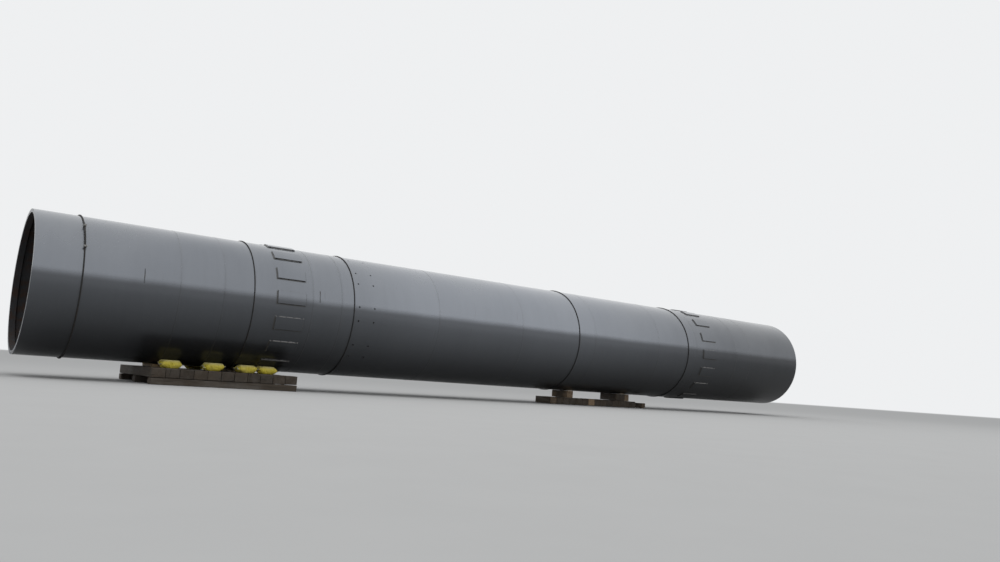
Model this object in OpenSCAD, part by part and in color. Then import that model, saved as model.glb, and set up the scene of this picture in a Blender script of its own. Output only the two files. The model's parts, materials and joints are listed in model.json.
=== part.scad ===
// Rotary kiln shell: a long rolled-plate steel tube, open at both ends, with tyre pads,
// bolt holes for the girth gear and its timber supports. Lengths in millimetres.
// X runs along the kiln, Z is up, and the origin is on the ground below its middle.

/* [Shell] */
// Outer diameter of the shell
shell_d = 2500; // [2000:10:3200]
// Wall thickness of an ordinary course
wall = 22; // [14:1:40]
// Wall thickness of the two courses that carry the tyres
tyre_wall = 32; // [20:1:60]
// Wall thickness of the course that carries the girth gear
gear_wall = 26; // [18:1:50]
// Width of a full steel plate, which is the length of a full course
plate_w = 2290; // [1800:10:2600]
// Length of each tyre course
tyre_course_l = 1710; // [1400:10:2200]
// Length of the short course outside the left tyre course
left_outer_l = 770; // [400:10:1500]
// Length of the short course between the left tyre course and the gear course
left_inner_l = 610; // [300:10:1500]
// Length of the short course before the right tyre course
right_inner_l = 1510; // [800:10:2200]
// Length of the short course outside the right tyre course
right_outer_l = 660; // [300:10:1500]

/* [End rings] */
// Radial thickness of the ring inside each open end
ring_t = 40; // [20:1:80]
// Length of the end ring along the kiln
ring_l = 100; // [50:5:250]

/* [Tyre pads] */
// Number of pads round the shell at each tyre
pad_count = 16; // [12:1:20]
// Length of a pad along the kiln
pad_l = 550; // [300:10:900]
// Width of a pad round the shell
pad_w = 234; // [120:2:300]
// Thickness of a pad
pad_t = 25; // [10:1:50]
// Distance from the left pads to the seam on their right
left_pad_edge = 160; // [60:10:500]
// Distance from the right pads to the seam on their left
right_pad_edge = 280; // [60:10:500]
// Turn of the left row of pads about the kiln's axis, in degrees
left_pad_turn = 7; // [0:0.5:22]

/* [Girth gear holes] */
// Number of four-hole groups round the shell
group_count = 10; // [4:2:12]
// Diameter of a bolt hole
gear_hole_d = 34; // [16:1:60]
// Distance between the holes of a group along the kiln
gear_hole_dx = 340; // [200:10:600]
// Distance between the holes of a group across it
gear_hole_dy = 280; // [120:10:400]
// Distance from the gear course's left seam to the middle of the groups
gear_from_seam = 555; // [400:5:1000]

/* [Lashings] */
// Diameter of the rope round the left end
end_rope_d = 24; // [12:1:40]
// Diameter of the other four ropes
rope_d = 18; // [10:1:30]
// Gap between a rope and the shell
rope_gap = 0.3; // [0.3:0.1:2]
// Distance from the kiln's left end to its rope
end_rope_from_end = 730; // [300:10:1500]
// Distance from the rope before the left tyre pads to the pads
rope_to_left_pads = 450; // [400:10:600]
// Distance from the rope before the gear holes to the first holes
rope_to_gear_holes = 115; // [60:5:180]
// Distance from the rope beside the right support's left block to that block
rope_to_block = 535; // [100:5:560]
// Distance from the rope before the right tyre pads to the pads
rope_to_right_pads = 630; // [100:10:1500]

/* [Right support] */
// Height of the shell's underside above the ground
shell_clear = 350; // [330:5:600]
// Length of the cross timbers of the right support
right_timber_l = 600; // [500:20:900]
// Height of the lower layer of the right support
right_low_h = 170; // [100:10:250]
// Width of a lower timber
low_timber_w = 216; // [150:2:300]
// Gap between timbers that lie side by side
timber_gap = 0.3; // [0.3:0.1:3]
// Distance from the start of the right support to the right tyre pads
support_to_right_pads = 4630; // [4000:10:5500]
// Distance from the start of the right support to its left block
block_a_in = 545; // [300:5:900]
// Distance between the two blocks
block_space = 1525; // [900:5:1700]
// Number of timbers in the left block
block_a_count = 1; // [1:1:3]
// Number of timbers in the right block
block_b_count = 3; // [2:1:4]
// Width of a timber of the left block
wide_timber_w = 200; // [180:2:320]
// Width of a timber of the right block
block_timber_w = 165; // [140:5:250]
// How far the lower layer runs on past the right block
low_past = 180; // [0:10:400]
// Distance from the end of the right support to the low block beyond it
end_block_space = 410; // [100:5:600]
// Width and height of that block
end_timber = 140; // [80:5:200]
// Its length across the kiln
end_timber_l = 300; // [200:10:500]

/* [Left support] */
// Distance from the start of the left support to the left tyre pads
support_to_left_pads = 2080; // [1900:10:2400]
// Width of a sleeper
sleeper_w = 240; // [150:2:300]
// Height of a sleeper
sleeper_h = 170; // [100:10:220]
// Length of a sleeper
sleeper_l = 2400; // [2000:50:2500]
// Width of the three runners below the sleepers
runner_w = 200; // [120:10:300]
// Thickness of the packing boards between the deck and the shell
packer_t = 60; // [30:5:100]
// Width of a packing board
packer_w = 230; // [150:5:300]
// Distance from the start of the support to the left packing board
packer_a_in = 200; // [50:10:500]
// Distance from the right packing board to the left tyre pads
packer_to_pads = 130; // [60:5:140]

/* [Chocks] */
// Slope of a wooden chock, in degrees
chock_slope = 9; // [7:1:10]
// Distance from a chock's thick end to the end of the timber below it
chock_inset = 8; // [4:1:20]
// Thickness of a chock along the kiln
chock_w = 150; // [80:5:170]
// Gap between a chock and the shell
chock_gap = 0.3; // [0.3:0.1:2]

/* [Sandbags] */
// Length of a bag along the kiln
bag_l = 390; // [300:10:500]
// Width of a bag across the kiln
bag_w = 400; // [300:10:500]
// Thickness of a bag
bag_t = 145; // [80:5:180]
// Gap between a bag and the shell, which leaves room for a rope
bag_shell_gap = 22; // [20:1:60]
// Distance from the start of the support to the first bag
bag_1_in = 260; // [20:10:400]
// Space between the first bag and the second
bag_space_1 = 375; // [10:5:500]
// Space between the second bag and the third
bag_space_2 = 235; // [10:5:400]
// Space between the third bag and the fourth
bag_space_3 = 10; // [5:5:200]

/* [Hidden] */
$fn = 96;

shell_r = shell_d / 2;
axis_z = shell_clear + shell_r;
eps = 1;

// Lengths of the twelve courses from left to right, and the seams between them
course_l = [plate_w, left_outer_l, tyre_course_l, left_inner_l,
  plate_w, plate_w, plate_w, plate_w,
  right_inner_l, tyre_course_l, right_outer_l, plate_w];
function sum_to(v, n) = n <= 0 ? 0 : v[n - 1] + sum_to(v, n - 1);
function seam(i) = sum_to(course_l, i);
kiln_l = seam(len(course_l));
left_tyre_i = 2;
gear_i = 4;
right_tyre_i = len(course_l) - 3;
function wall_of(i) = (i == left_tyre_i || i == right_tyre_i) ? tyre_wall
  : (i == gear_i ? gear_wall : wall);

left_pads_at = seam(left_tyre_i + 1) - left_pad_edge - pad_l;
right_pads_at = seam(right_tyre_i) + right_pad_edge;
gear_at = seam(gear_i) + gear_from_seam;

// Places along the kiln, from its left end
rope_1_at = end_rope_from_end;
rope_2_at = left_pads_at - rope_to_left_pads;
rope_3_at = gear_at - gear_hole_dx / 2 - rope_to_gear_holes;
right_support_at = right_pads_at - support_to_right_pads;
block_a_at = right_support_at + block_a_in;
block_a_l = row_l(block_a_count, wide_timber_w);
block_b_at = block_a_at + block_a_l + block_space;
block_b_l = row_l(block_b_count, block_timber_w);
low_pitch = low_timber_w + timber_gap;
low_count = ceil((block_b_at + block_b_l + low_past - right_support_at) / low_pitch);
end_block_at = right_support_at + row_l(low_count, low_timber_w) + end_block_space;
rope_4_at = block_a_at - rope_to_block;
rope_5_at = right_pads_at - rope_to_right_pads;
left_support_at = left_pads_at - support_to_left_pads;
packer_a_at = left_support_at + packer_a_in;
packer_b_at = left_pads_at - packer_to_pads - packer_w;
bag_1_at = left_support_at + bag_1_in;
bag_2_at = bag_1_at + bag_l + bag_space_1;
bag_3_at = bag_2_at + bag_l + bag_space_2;
bag_4_at = bag_3_at + bag_l + bag_space_3;
sleeper_pitch = sleeper_w + timber_gap;
sleeper_count = ceil((bag_4_at + bag_l - left_support_at) / sleeper_pitch);
function row_l(count, w) = count * (w + timber_gap) - timber_gap;

// Heights above the ground
right_up_h = shell_clear - right_low_h;
runner_h = shell_clear - packer_t - sleeper_h;
deck_z = runner_h + sleeper_h;
bag_top_z = deck_z + bag_t;

// A bag's outline at its foot and at its top, as shares of its widest
bag_foot = 0.72;
bag_crown = 0.5;
bag_belly_at = 0.42;
bag_round = 60;
slice_t = 2;
bag_y = sqrt(pow(shell_r, 2) - pow(axis_z - bag_top_z, 2)) + bag_shell_gap + bag_w * bag_crown / 2;
packer_l = 2 * (bag_y - bag_w / 2 - bag_shell_gap);

steel = [0.27, 0.29, 0.31];
pad_steel = [0.25, 0.27, 0.29];
rope_grey = [0.12, 0.12, 0.12];
dark_wood = [0.20, 0.17, 0.14];
pale_wood = [0.62, 0.50, 0.36];
bag_yellow = [0.85, 0.78, 0.15];

// Places its children at a distance from the kiln's left end, on its axis
module along(at) {
  translate([at - kiln_l / 2, 0, axis_z]) children();
}

// Straight tube along X
module tube(outer_r, inner_r, length) {
  rotate([0, 90, 0]) difference() {
    cylinder(r = outer_r, h = length);
    translate([0, 0, -eps]) cylinder(r = inner_r, h = length + 2 * eps);
  }
}

// The holes of the girth gear's spring plates, drilled square to each plate
module gear_holes() {
  for (i = [0 : group_count - 1])
    rotate([i * 360 / group_count, 0, 0])
      for (sx = [-1, 1], sy = [-1, 1])
        translate([sx * gear_hole_dx / 2, shell_r / 2, sy * gear_hole_dy / 2])
          rotate([-90, 0, 0]) cylinder(d = gear_hole_d, h = shell_r);
}

module shell_course(i) {
  color(steel) difference() {
    along(seam(i)) tube(shell_r, shell_r - wall_of(i), course_l[i]);
    if (i == gear_i) along(gear_at) gear_holes();
  }
}

module end_ring(at) {
  color(steel) along(at) tube(shell_r - wall, shell_r - wall - ring_t, ring_l);
}

// One row of curved plates round the shell, where a tyre sits
module tyre_pads(at, turn) {
  pad_angle = pad_w / shell_r * 180 / PI;
  color(pad_steel) along(at) for (i = [0 : pad_count - 1])
    rotate([180 - turn - pad_angle / 2 + i * 360 / pad_count, 0, 0])
      rotate([90, 0, 90]) rotate_extrude(angle = pad_angle, $fn = 360)
        translate([shell_r, 0]) square([pad_t, pad_l]);
}

// Wire rope pulled tight round the shell
module lashing_rope(at, d) {
  color(rope_grey) along(at) rotate([0, 90, 0]) rotate_extrude()
    translate([shell_r + rope_gap + d / 2, 0]) circle(d = d, $fn = 24);
}

// Squared timbers side by side, each lying across the kiln
module cross_timbers(at, z, count, w, h, length) {
  for (i = [0 : count - 1])
    translate([at - kiln_l / 2 + i * (w + timber_gap), -length / 2, z]) cube([w, length, h]);
}

// Wedges against both sides of the shell, with a face that meets it along one line
module chock_pair(mid, z) {
  touch_y = (shell_r + chock_gap) * sin(chock_slope);
  touch_z = axis_z - (shell_r + chock_gap) * cos(chock_slope);
  toe_y = touch_y - (touch_z - z) / tan(chock_slope);
  heel_y = right_timber_l / 2 - chock_inset;
  heel_z = z + (heel_y - toe_y) * tan(chock_slope);
  for (side = [-1, 1])
    translate([mid - chock_w / 2 - kiln_l / 2, 0, 0]) rotate([90, 0, 90]) linear_extrude(chock_w)
      polygon([[side * toe_y, z], [side * heel_y, z], [side * heel_y, heel_z]]);
}

module right_lower_timbers() {
  color(dark_wood)
    cross_timbers(right_support_at, 0, low_count, low_timber_w, right_low_h, right_timber_l);
}

module right_block_a() {
  color(dark_wood) cross_timbers(block_a_at, right_low_h, block_a_count, wide_timber_w,
    right_up_h, right_timber_l);
}

module right_block_b() {
  color(dark_wood) cross_timbers(block_b_at, right_low_h, block_b_count, block_timber_w,
    right_up_h, right_timber_l);
}

module right_chocks() {
  color(pale_wood) {
    chock_pair(block_a_at + block_a_l / 2, shell_clear);
    chock_pair(block_b_at + block_b_l / 2, shell_clear);
  }
}

module right_end_block() {
  color(dark_wood)
    cross_timbers(end_block_at, 0, 1, end_timber, end_timber, end_timber_l);
}

// Three timbers along the kiln, below the sleepers
module left_runners() {
  color(dark_wood) for (side = [-1, 0, 1])
    translate([left_support_at - kiln_l / 2,
        side * (sleeper_l - runner_w) / 2 - runner_w / 2, 0])
      cube([row_l(sleeper_count, sleeper_w), runner_w, runner_h]);
}

module left_sleepers() {
  color(dark_wood)
    cross_timbers(left_support_at, runner_h, sleeper_count, sleeper_w, sleeper_h, sleeper_l);
}

module left_packers() {
  color(pale_wood) for (at = [packer_a_at, packer_b_at])
    translate([at - kiln_l / 2, -packer_l / 2, deck_z]) cube([packer_w, packer_l, packer_t]);
}

// Thin slice of a bag with round corners
module bag_slice(share, z) {
  for (sx = [-1, 1], sy = [-1, 1])
    translate([sx * (bag_l * share / 2 - bag_round), sy * (bag_w * share / 2 - bag_round), z])
      cylinder(r = bag_round, h = slice_t, $fn = 24);
}

// Filled bag lying on the deck, widest a little below its middle
module sandbag(at, side) {
  color(bag_yellow)
    translate([at + bag_l / 2 - kiln_l / 2, side * bag_y, deck_z]) hull() {
      bag_slice(bag_foot, 0);
      bag_slice(1, bag_t * bag_belly_at);
      bag_slice(bag_crown, bag_t - slice_t);
    }
}

shell_course(0);  // shell_course_1
shell_course(1);  // shell_course_2
shell_course(2);  // shell_course_3
shell_course(3);  // shell_course_4
shell_course(4);  // shell_course_5
shell_course(5);  // shell_course_6
shell_course(6);  // shell_course_7
shell_course(7);  // shell_course_8
shell_course(8);  // shell_course_9
shell_course(9);  // shell_course_10
shell_course(10);  // shell_course_11
shell_course(11);  // shell_course_12
end_ring(0);  // left_end_ring
end_ring(kiln_l - ring_l);  // right_end_ring
tyre_pads(left_pads_at, left_pad_turn);  // left_tyre_pads
tyre_pads(right_pads_at, 0);  // right_tyre_pads
lashing_rope(rope_1_at, end_rope_d);  // lashing_rope_1
lashing_rope(rope_2_at, rope_d);  // lashing_rope_2
lashing_rope(rope_3_at, rope_d);  // lashing_rope_3
lashing_rope(rope_4_at, rope_d);  // lashing_rope_4
lashing_rope(rope_5_at, rope_d);  // lashing_rope_5
right_lower_timbers();
right_block_a();
right_block_b();
right_chocks();
right_end_block();
left_runners();
left_sleepers();
left_packers();
sandbag(bag_1_at, -1);  // front_sandbag_1
sandbag(bag_2_at, -1);  // front_sandbag_2
sandbag(bag_3_at, -1);  // front_sandbag_3
sandbag(bag_4_at, -1);  // front_sandbag_4
sandbag(bag_1_at, 1);  // rear_sandbag_1
sandbag(bag_2_at, 1);  // rear_sandbag_2
sandbag(bag_3_at, 1);  // rear_sandbag_3
sandbag(bag_4_at, 1);  // rear_sandbag_4
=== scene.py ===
"""Finishes for a rotary kiln shell that lies on timber supports, in a plain studio.

The shell, its rings, its tyre pads and its bolt holes come from the frame and get their paint here.
Weld beads, laid ropes with their clips, sawn timbers and filled bags are modelled here.
"""

import json
import math
import random
from contextlib import contextmanager
from functools import partialmethod

import bpy
import numpy as np
from mathutils import Matrix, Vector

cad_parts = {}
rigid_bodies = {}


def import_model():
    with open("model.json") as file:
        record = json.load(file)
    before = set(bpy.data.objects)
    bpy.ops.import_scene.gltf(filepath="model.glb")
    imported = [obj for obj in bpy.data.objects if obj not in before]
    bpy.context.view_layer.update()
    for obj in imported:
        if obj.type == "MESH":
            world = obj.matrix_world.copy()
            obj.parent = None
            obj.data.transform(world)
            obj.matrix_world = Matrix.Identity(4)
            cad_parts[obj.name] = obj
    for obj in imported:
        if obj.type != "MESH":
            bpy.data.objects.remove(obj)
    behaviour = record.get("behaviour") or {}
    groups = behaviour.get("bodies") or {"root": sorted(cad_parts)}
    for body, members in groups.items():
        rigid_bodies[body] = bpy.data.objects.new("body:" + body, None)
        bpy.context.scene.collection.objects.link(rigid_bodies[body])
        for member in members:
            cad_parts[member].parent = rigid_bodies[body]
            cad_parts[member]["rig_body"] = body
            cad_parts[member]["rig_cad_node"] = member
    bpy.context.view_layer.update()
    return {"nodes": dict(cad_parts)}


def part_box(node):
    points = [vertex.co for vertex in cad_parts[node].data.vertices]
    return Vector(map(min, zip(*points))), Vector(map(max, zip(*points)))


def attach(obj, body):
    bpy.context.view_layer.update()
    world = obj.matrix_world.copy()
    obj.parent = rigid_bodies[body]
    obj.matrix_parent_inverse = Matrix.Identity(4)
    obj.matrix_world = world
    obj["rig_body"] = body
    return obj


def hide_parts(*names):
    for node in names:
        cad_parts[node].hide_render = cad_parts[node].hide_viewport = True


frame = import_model()

bl_info = {
    "name": "Rotary Kiln Shell",
    "version": (1, 0, 0),
    "blender": (4, 5, 0),
    "location": "View3D > Sidebar > Kiln",
    "description": "Finishes and fine pieces of a rotary kiln shell on its supports",
    "category": "Object",
}

TAU = 2 * math.pi
COURSES = ["shell_course_%d" % i for i in range(1, 13)]
ROPES = ["lashing_rope_%d" % i for i in range(1, 6)]
FRONT_BAGS = ["front_sandbag_%d" % i for i in range(1, 5)]
REAR_BAGS = ["rear_sandbag_%d" % i for i in range(1, 5)]
# Each end ring, with the side of its box that faces the kiln's middle: 0 low, 1 high
END_RINGS = {"left_end_ring": 1, "right_end_ring": 0}
# Each row of tyre pads, with the turn of its first pad up from the front
PAD_TURNS = {"left_tyre_pads": math.radians(7), "right_tyre_pads": 0}
PAD_COUNT = 16
PAD_WIDTH = 0.234
# Each node of timbers: the axis they run along, 0 for X and 1 for Y, their seed and their wood
TIMBERS = {"right_lower_timbers": (1, 1, "old_timber"), "right_block_a": (1, 2, "old_timber"),
           "right_block_b": (1, 3, "old_timber"), "right_end_block": (1, 4, "old_timber"),
           "left_sleepers": (1, 5, "old_timber"), "left_runners": (0, 21, "old_timber"),
           "left_packers": (1, 31, "new_timber"), "right_chocks": (1, 32, "new_timber")}
# How pale the sawn ends of some timbers are, by their node and their number from the left
PALE_ENDS = {("right_lower_timbers", 0): 0.35, ("right_lower_timbers", 6): 1.0, ("right_block_a", 0): 0.8,
             ("right_block_b", 2): 0.7, ("right_end_block", 0): 0.3}
# Marks where lifting lugs were cut off: place along the kiln, and angles up from the front in degrees
LUG_SCARS = [(-8.67, 5, 17), (-5.445, 6, 17), (-8.67, 150, 162), (-5.445, 150, 161)]
SCAR_WIDTH = 0.016
SCAR_HEIGHT = 0.003
SCAR_SINK = 0.0005
# Where each rope starts, in degrees up from the front, the angle between its clips, and their count
ROPE_ENDS = [(52, 22, 2)] + [(200, 10, 3)] * 4
# Angle from a rope's start back to its first clip, in degrees
CLIP_BACK = 2
# Strands of a rope, sides of a strand, and steps in one turn of it
STRANDS = 6
STRAND_SIDES = 6
STRAND_STEPS = 8
# Weld beads: steps round the kiln, sides, length of a step along it, depth in the plate, gap at the ends
ROUND_STEPS = 192
BEAD_SIDES = 8
BEAD_STEP = 0.06
BEAD_SINK = 0.0002
BEAD_END_GAP = 0.001
# Place of each course's long seam, in degrees up from the front, which changes in threes and in twos
SEAM_TURNS = [112 + (i % 3) * 54 + (i % 2) * 17 for i in range(len(COURSES))]
# How far the pads' fillets reach into the plate
FILLET_DEPTH = 0.006
# Change of the paint's tone at each seam, from the left
TONE_CHANGES = [0.015, -0.02, 0.02, 0.015, -0.02, 0.015, -0.02, 0.02, -0.025, 0.02, -0.015]
# Painted reflection: broad changes of the paint's tone, each from one place along the kiln to another
PAINTED_REFLECTION_TONES = [(-5.4, -2.4, 0.28), (0.6, 8.2, -0.60), (5.5, 9.5, -0.12)]
# Pitches of the weld beads' ripples, the wood's rings and saw marks, and the cloth's tapes
RIPPLE_PITCH = 0.007
RING_PITCH = 0.006
SAW_PITCH = 0.011
TAPE_WIDTH = 0.0045
# Length of a timber over which its faces wander
TIMBER_STEP = 0.16
# Frames of the bags' simulation
CLOTH_FRAMES = 20
# Share of half a bag's length past which it is sewn flat
SEWN_FROM = 0.88
HEM_THICKNESS = 0.006
THREAD_R = 0.0014
STITCH_PITCH = 0.012
FLOOR_R = 400
# Distances between which the floor passes into the backdrop
FLOOR_FADE = (150, 380)
# Share of the floor's colour in the light that it sends up to the kiln
FLOOR_GLOW = 0.32
LAMP_SIZE = (34, 16)


def extent(node):
    """The middle and the size of a node's box."""
    low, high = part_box(node)
    return (low + high) / 2, high - low


def inner_radius(node):
    """Distance from the kiln's axis to the nearest point of a node."""
    return min(math.hypot(v.co.y, v.co.z - AXIS_Z) for v in frame["nodes"][node].data.vertices)


SHELL_LOW, SHELL_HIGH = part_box("shell_course_1")
AXIS_Z = (SHELL_LOW.z + SHELL_HIGH.z) / 2
SHELL_R = (SHELL_HIGH.z - SHELL_LOW.z) / 2
HALF_L = (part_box("shell_course_12")[1].x - SHELL_LOW.x) / 2
SEAMS = [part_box(name)[1].x for name in COURSES[:-1]]
RING_JOINT_R = inner_radius("shell_course_1") - 0.0002


def length_property(name, description, default):
    """A size in metres that a user may change."""
    return bpy.props.FloatProperty(name=name, description=description, default=default, unit="LENGTH",
                                   precision=4)


def angle_property(name, description, degrees):
    """An angle that a user may change."""
    return bpy.props.FloatProperty(name=name, description=description, default=math.radians(degrees),
                                   subtype="ANGLE")


def colour_property(name, description, default):
    """A linear colour that a user may change."""
    return bpy.props.FloatVectorProperty(name=name, description=description, default=default,
                                         subtype="COLOR", size=3, min=0, max=1)


def number_property(name, description, default):
    """A plain number that a user may change."""
    return bpy.props.FloatProperty(name=name, description=description, default=default, precision=3)


class KilnPaint(bpy.types.PropertyGroup):
    """Colours of the steel."""
    grey: colour_property("Paint", "Grey paint of the shell", (0.240, 0.257, 0.286))
    dust: colour_property("Dust", "Dust that lies on the upper half", (0.33, 0.335, 0.34))
    # The grime colour is also laid as painted shadow along the tyre pads, and as painted shade on edges
    # that face down or along.
    grime: colour_property("Grime", "Dirt in runs and corners", (0.055, 0.052, 0.048))
    rust: colour_property("Rust", "Rust inside the shell", (0.066, 0.036, 0.023))
    scale: colour_property("Mill scale", "Rolled steel inside the shell", (0.034, 0.034, 0.037))
    # The bare steel colour is also laid as a painted highlight on edges that face up.
    bare: colour_property("Bare steel", "Steel where the paint is worn", (0.42, 0.40, 0.38))
    flake: number_property("Metal flake", "How metallic the paint is", 0.78)
    gloss: number_property("Roughness", "Roughness of the paint", 0.20)
    wave_height: length_property("Plate waves", "Height of the long waves in the rolled plate", 0.0008)


class KilnWelds(bpy.types.PropertyGroup):
    """Sizes of the weld beads."""
    seam_width: length_property("Seam bead width", "Width of the beads between courses", 0.024)
    seam_height: length_property("Seam bead height", "How far the beads stand proud", 0.002)
    fillet_leg: length_property("Fillet leg", "Leg of the fillets round the pads and rings", 0.014)
    stitch: length_property("Stitch", "Length of each weld along a pad's long edges", 0.12)
    stitch_gap: length_property("Stitch gap", "Space between the welds along a pad's long edges", 0.03)


class KilnRopes(bpy.types.PropertyGroup):
    """Sizes and colours of the ropes."""
    lay: number_property("Lay", "Length of one turn of a strand, in rope diameters", 6.5)
    tail: length_property("Tail", "Length over which a rope's ends lie together", 0.56)
    wire: colour_property("Wire", "Greased wire", (0.045, 0.043, 0.041))
    clip: colour_property("Clip", "Galvanized clips", (0.33, 0.33, 0.32))


class KilnTimber(bpy.types.PropertyGroup):
    """Sizes and colours of the timbers."""
    edge: length_property("Edge", "Width of the worn edges", 0.007)
    wander: length_property("Wander", "How far a sawn face wanders", 0.003)
    old: colour_property("Old timber", "Dark oily timber", (0.085, 0.068, 0.052))
    new: colour_property("New timber", "Pale softwood", (0.47, 0.34, 0.20))
    grey: colour_property("Weathered", "Grey weathered wood", (0.20, 0.185, 0.165))
    sawn_dark: colour_property("Sawn, dark", "Dark grain of a fresh sawn end", (0.30, 0.20, 0.12))
    sawn_light: colour_property("Sawn, light", "Light grain of a fresh sawn end", (0.60, 0.44, 0.29))
    # Painted shade: the near black inside the splits stands for the shade in them.
    split: colour_property("Split", "Inside a split end", (0.01, 0.008, 0.006))


class KilnBags(bpy.types.PropertyGroup):
    """Sizes and colours of the sandbags."""
    voxel: length_property("Voxel", "Size of the cloth's mesh", 0.0068)
    pressure: number_property("Pressure", "Pressure of the filling", 4.0)
    cap: length_property("Cap", "How far the cloth may move", 0.03)
    cloth: colour_property("Cloth", "Woven yellow tape", (0.92, 0.76, 0.07))
    # The dust colour also lays the painted highlight over the bags' tops.
    dust: colour_property("Dust", "Dust on the cloth", (0.74, 0.68, 0.42))
    hem_width: length_property("Hem width", "Width of the folded hem at each end", 0.034)
    hem: colour_property("Hem", "Pale cloth of the folded hems", (0.70, 0.67, 0.50))
    thread: colour_property("Thread", "Thread of the hems", (0.80, 0.79, 0.74))


class KilnStage(bpy.types.PropertyGroup):
    """The camera, the floor and the lights."""
    camera_place: bpy.props.FloatVectorProperty(name="Camera", description="Where the camera stands",
                                                default=(-11.964, -15.940, 0.441), subtype="XYZ")
    heading: angle_property("Heading", "Turn of the camera to the right of straight across", 36.32)
    pitch: angle_property("Pitch", "How far the camera looks up", 7.10)
    roll: angle_property("Roll", "How far the camera leans to its left", 3.93)
    lens: number_property("Lens", "Focal length in millimetres", 29.22)
    floor: colour_property("Floor", "Pale floor", (0.58, 0.58, 0.575))
    backdrop: colour_property("Backdrop", "Pale backdrop", (0.86, 0.87, 0.88))
    sky: colour_property("Sky", "Colour of the soft light from all round", (0.97, 0.985, 1))
    sky_light: number_property("Sky light", "Strength of the soft light from all round", 0.68)
    lamp_power: number_property("Lamp power", "Power of the lamp above, in watts", 1050.0)
    lamp_place: bpy.props.FloatVectorProperty(name="Lamp", description="Where the lamp hangs",
                                              default=(-2, -6, 18), subtype="XYZ")
    lamp_tilt: angle_property("Lamp tilt", "Lean of the lamp's light towards the front", 12)


GROUPS = {"kiln_paint": KilnPaint, "kiln_welds": KilnWelds, "kiln_ropes": KilnRopes,
          "kiln_timber": KilnTimber, "kiln_bags": KilnBags, "kiln_stage": KilnStage}


class Value:
    """A socket in a finish that takes part in Python sums."""

    def __init__(self, finish, socket):
        self.finish = finish
        self.socket = socket

    def maths(self, operation, *others):
        """This value and others put through one of the maths node's operations."""
        return self.finish.node("ShaderNodeMath", {"operation": operation}, [self, *others])

    def other(self, name):
        """Another output of the same node."""
        return Value(self.finish, self.socket.node.outputs[name])

    __add__ = __radd__ = partialmethod(maths, "ADD")
    __mul__ = __rmul__ = partialmethod(maths, "MULTIPLY")
    __sub__ = partialmethod(maths, "SUBTRACT")
    __truediv__ = partialmethod(maths, "DIVIDE")
    __pow__ = partialmethod(maths, "POWER")
    __lt__ = partialmethod(maths, "LESS_THAN")
    __gt__ = partialmethod(maths, "GREATER_THAN")
    __abs__ = partialmethod(maths, "ABSOLUTE")

    def __rsub__(self, other):
        return self.finish.node("ShaderNodeMath", {"operation": "SUBTRACT"}, [other, self])

    def held(self):
        """The value kept between 0 and 1."""
        return self.finish.node("ShaderNodeClamp", {}, {"Value": self})

    def step(self, start, end):
        """0 before start and 1 after end, smooth between them."""
        return self.finish.node("ShaderNodeMapRange", {"interpolation_type": "SMOOTHSTEP"},
                                {"Value": self, "From Min": start, "From Max": end})

    def ridges(self, pitch, wobble=0):
        """Round ridges from 0 to 1 at a pitch in metres, pushed about by a wobble."""
        return abs((self * (math.pi / pitch) + wobble).maths("SINE"))


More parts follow.
